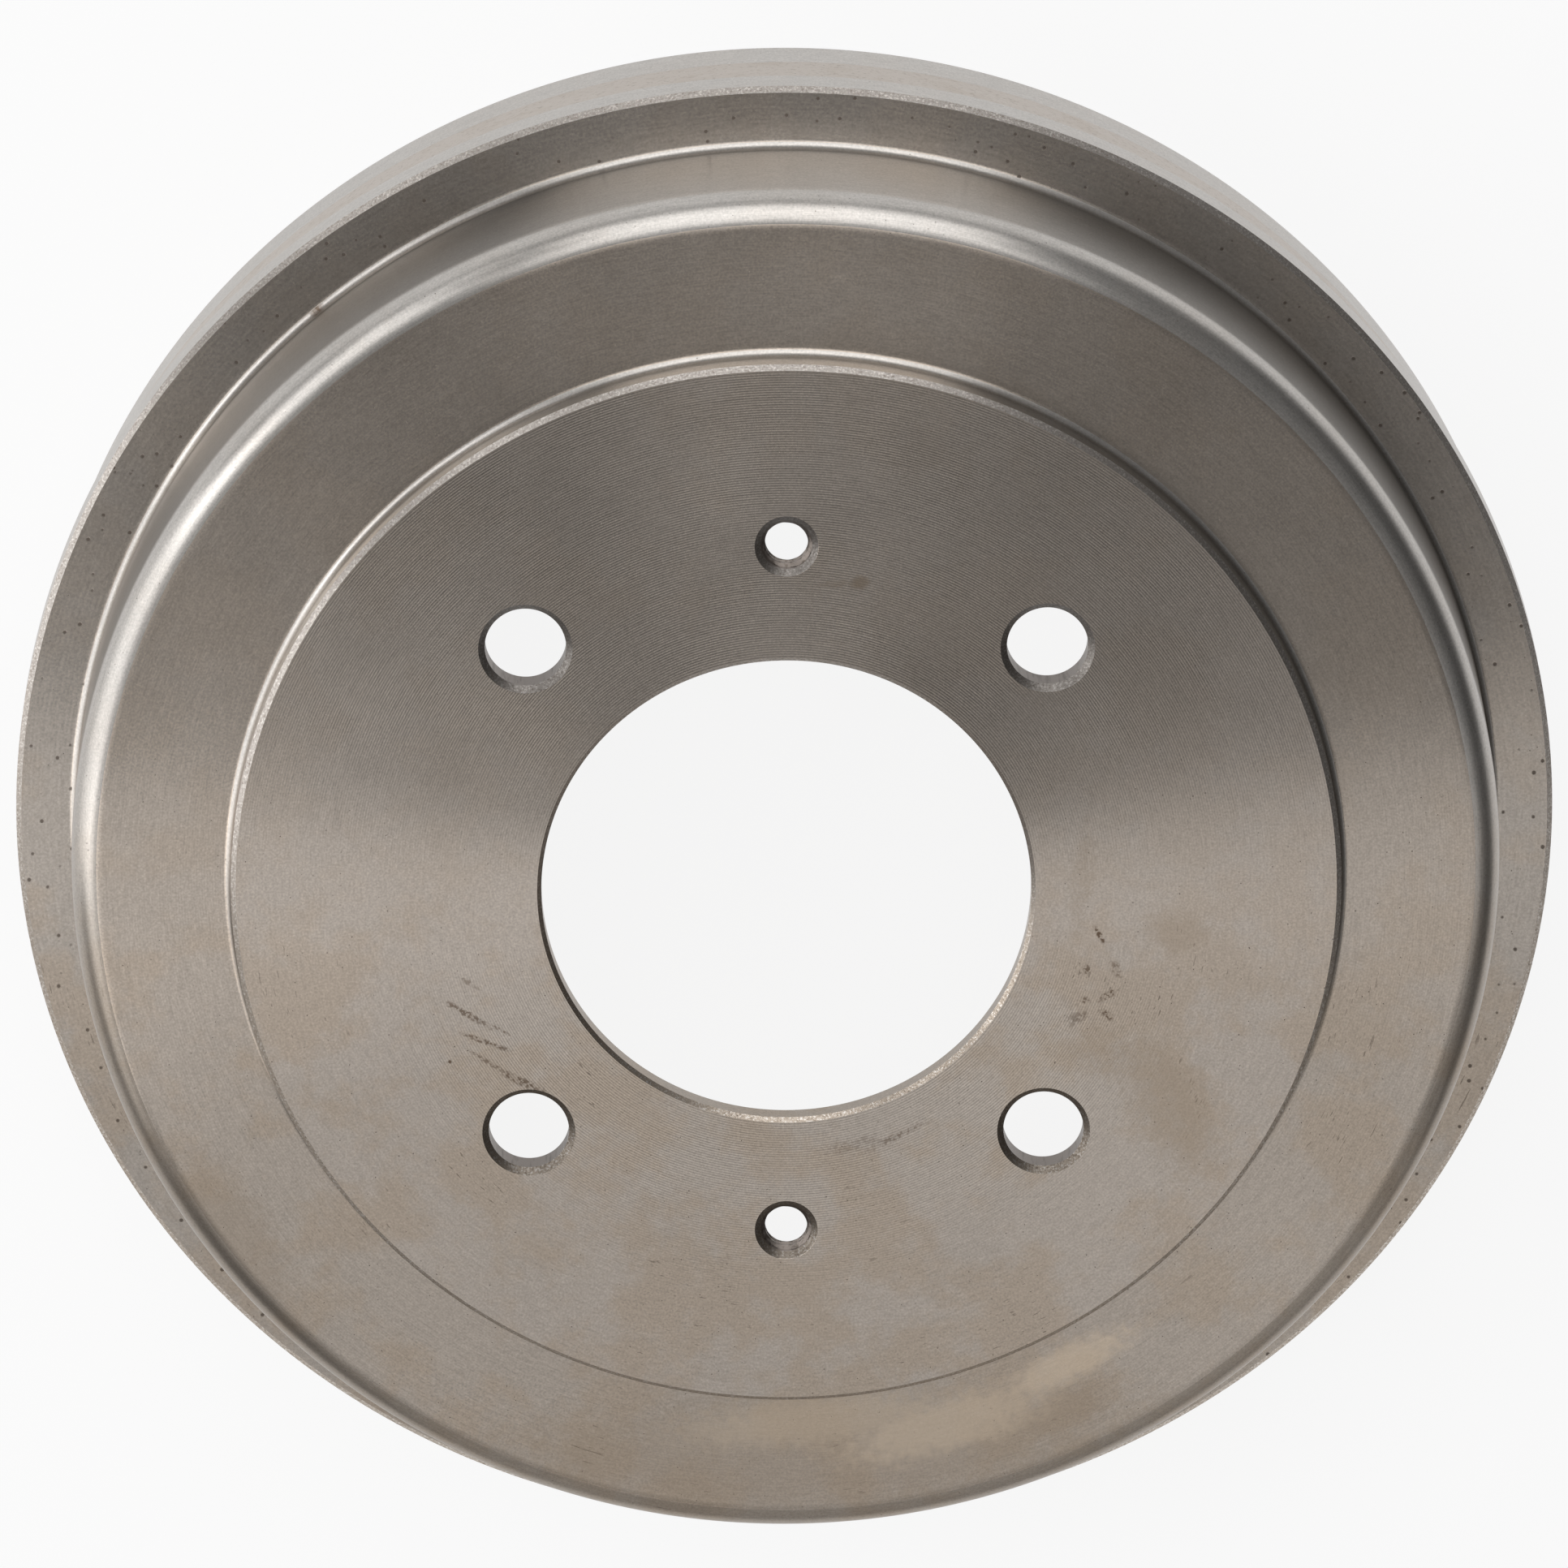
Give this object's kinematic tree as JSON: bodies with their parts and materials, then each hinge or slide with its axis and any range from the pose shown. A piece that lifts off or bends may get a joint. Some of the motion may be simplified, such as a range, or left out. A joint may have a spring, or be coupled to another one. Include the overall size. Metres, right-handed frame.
{
  "type": "brake drum",
  "caption": "Cast iron brake drum with a turned hat, a raised mounting face with stud holes, threaded jacking holes and a centre bore, and a wide flange round its open end.",
  "frame": {"origin": "centre of the open rim, on the plane it stands on", "axes": "+Z along the axis, out of the wheel side of the mounting face; the threaded jacking holes lie on the Y axis and the stud holes at 45 degrees between X and Y"},
  "size_m": [0.243, 0.243, 0.0592],
  "materials": {
    "turned_iron": "turned bare grey iron with fine feed rings, rough cast skin between the turned bands, dry"
  },
  "bodies": {
    "root": {"brake_drum": "turned_iron"}
  },
  "joints": []
}
